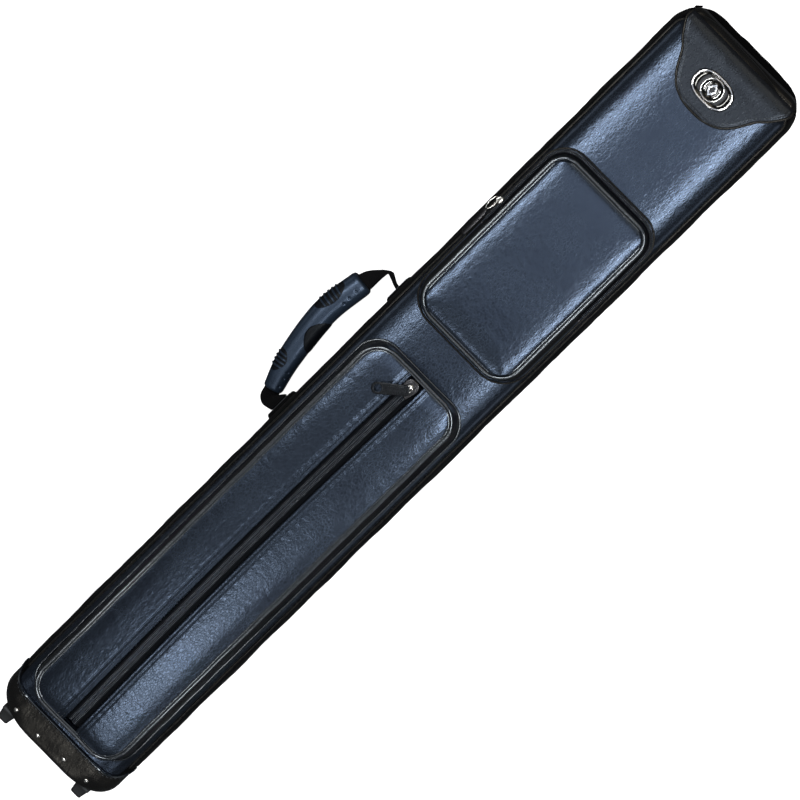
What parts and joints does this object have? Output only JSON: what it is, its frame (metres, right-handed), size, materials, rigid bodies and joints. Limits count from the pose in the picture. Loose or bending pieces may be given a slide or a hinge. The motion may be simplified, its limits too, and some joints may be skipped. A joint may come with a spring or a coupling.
{
  "type": "cue case",
  "caption": "Long hard leatherette cue case with a fold-over top flap, two zipped front pockets, a side carry handle and feet under its bottom cap.",
  "frame": {"origin": "middle of the back panel's outer face, on which the case lies", "axes": "+Y along the case from the bottom cap to the lid, +Z out of the front, +X across it, away from the carry handle"},
  "size_m": [0.1832, 0.8852, 0.1202],
  "materials": {
    "leatherette": "semi-gloss black leatherette, fine pebble grain",
    "band_fabric": "matt black woven band",
    "piping": "glossy black piping",
    "webbing": "black ribbed nylon webbing",
    "handle_plastic": "satin blue-black moulded grip",
    "rubber": "matt black rubber",
    "nickel": "nickel plate",
    "chrome": "polished chrome plate",
    "gunmetal": "gunmetal plate",
    "pull_plastic": "black moulded rubber-like plastic",
    "zip_coil": "black nylon coil",
    "zip_tape": "black woven zipper tape",
    "tube_plastic": "dark extruded plastic",
    "board": "dark covered board",
    "foam": "black velvet-faced foam"
  },
  "bodies": {
    "case": {"anchor_patch_lower": "webbing", "anchor_patch_upper": "webbing", "back_panel": "leatherette", "back_rim": "band_fabric", "base_pad": "foam", "bottom_cap": "leatherette", "butt_tube_1": "tube_plastic", "butt_tube_2": "tube_plastic", "butt_tube_3": "tube_plastic", "cap_rivet_1": "nickel", "cap_rivet_2": "nickel", "cap_rivet_3": "nickel", "cap_rivet_4": "nickel", "core_box": "board", "foot_back_left": "rubber", "foot_back_right": "rubber", "foot_front_left": "rubber", "foot_front_right": "rubber", "front_panel": "leatherette", "lower_base_piping": "piping", "lower_face_piping": "piping", "lower_panel_left": "leatherette", "lower_panel_right": "leatherette", "lower_pocket_gusset": "leatherette", "lower_zip_coil": "zip_coil", "lower_zip_tape_left": "zip_tape", "lower_zip_tape_right": "zip_tape", "lower_zip_top_stop": "nickel", "mouth_collar": "foam", "shaft_tube_1": "tube_plastic", "shaft_tube_2": "tube_plastic", "shaft_tube_3": "tube_plastic", "shaft_tube_4": "tube_plastic", "side_band_left": "band_fabric", "side_band_right": "band_fabric", "snap_keeper": "nickel", "upper_piping_lower": "piping", "upper_pocket_gusset": "leatherette", "upper_pocket_lower_face": "leatherette", "upper_zip_coil_base": "zip_coil", "upper_zip_stop_left": "nickel", "upper_zip_stop_right": "nickel"},
    "lid": {"lid_board": "board", "lid_cover": "leatherette"},
    "flap": {"top_flap": "leatherette", "badge_plate": "chrome", "badge_medallion": "chrome", "snap_magnet": "nickel"},
    "pocket_cover": {"upper_pocket_cover": "leatherette", "upper_piping_cover": "piping", "upper_zip_coil_cover": "zip_coil"},
    "upper_zip_slider": {"upper_slider": "nickel"},
    "upper_zip_pull": {"upper_pull_tab": "gunmetal"},
    "lower_zip_slider": {"lower_slider": "gunmetal"},
    "lower_zip_link": {"lower_pull_link": "gunmetal"},
    "lower_zip_pull": {"lower_pull_tab": "pull_plastic"},
    "handle": {"handle_grip": "handle_plastic", "handle_grip_insert": "rubber", "webbing_upper": "webbing", "webbing_lower": "webbing"}
  },
  "joints": [
    {"name": "lid_hinge", "type": "hinge", "parent": "case", "child": "lid", "pos_m": [0, 0.4325, 0.0144], "axis": [-1, 0, 0], "range_deg": [0, 100]},
    {"name": "flap_fold", "type": "hinge", "parent": "lid", "child": "flap", "pos_m": [0, 0.4269, 0.0876], "axis": [-1, 0, 0], "range_deg": [0, 150]},
    {"name": "pocket_cover_fold", "type": "hinge", "parent": "case", "child": "pocket_cover", "pos_m": [0, 0.1775, 0.1112], "axis": [1, 0, 0], "range_deg": [0, 75]},
    {"name": "upper_zip_slide", "type": "slide", "parent": "case", "child": "upper_zip_slider", "axis": [0, 1, 0], "range_m": [-0.016, 0.045]},
    {"name": "upper_pull_flip", "type": "hinge", "parent": "upper_zip_slider", "child": "upper_zip_pull", "pos_m": [-0.0639, 0.197, 0.0984], "axis": [0, 0, -1], "range_deg": [0, 150]},
    {"name": "lower_zip_slide", "type": "slide", "parent": "case", "child": "lower_zip_slider", "axis": [0, -1, 0], "range_m": [0, 0.405]},
    {"name": "lower_pull_flip", "type": "hinge", "parent": "lower_zip_slider", "child": "lower_zip_link", "pos_m": [-0.0018, 0.0355, 0.1164], "axis": [-1, 0, 0], "range_deg": [0, 105]},
    {"name": "lower_pull_swivel", "type": "hinge", "parent": "lower_zip_link", "child": "lower_zip_pull", "pos_m": [-0.0018, 0.0305, 0.1164], "axis": [0, 0, 1], "range_deg": [-30, 95]},
    {"name": "handle_swing", "type": "hinge", "parent": "case", "child": "handle", "pos_m": [-0.075, -0.003, 0.028], "axis": [0, 1, 0], "range_deg": [0, 85]}
  ]
}
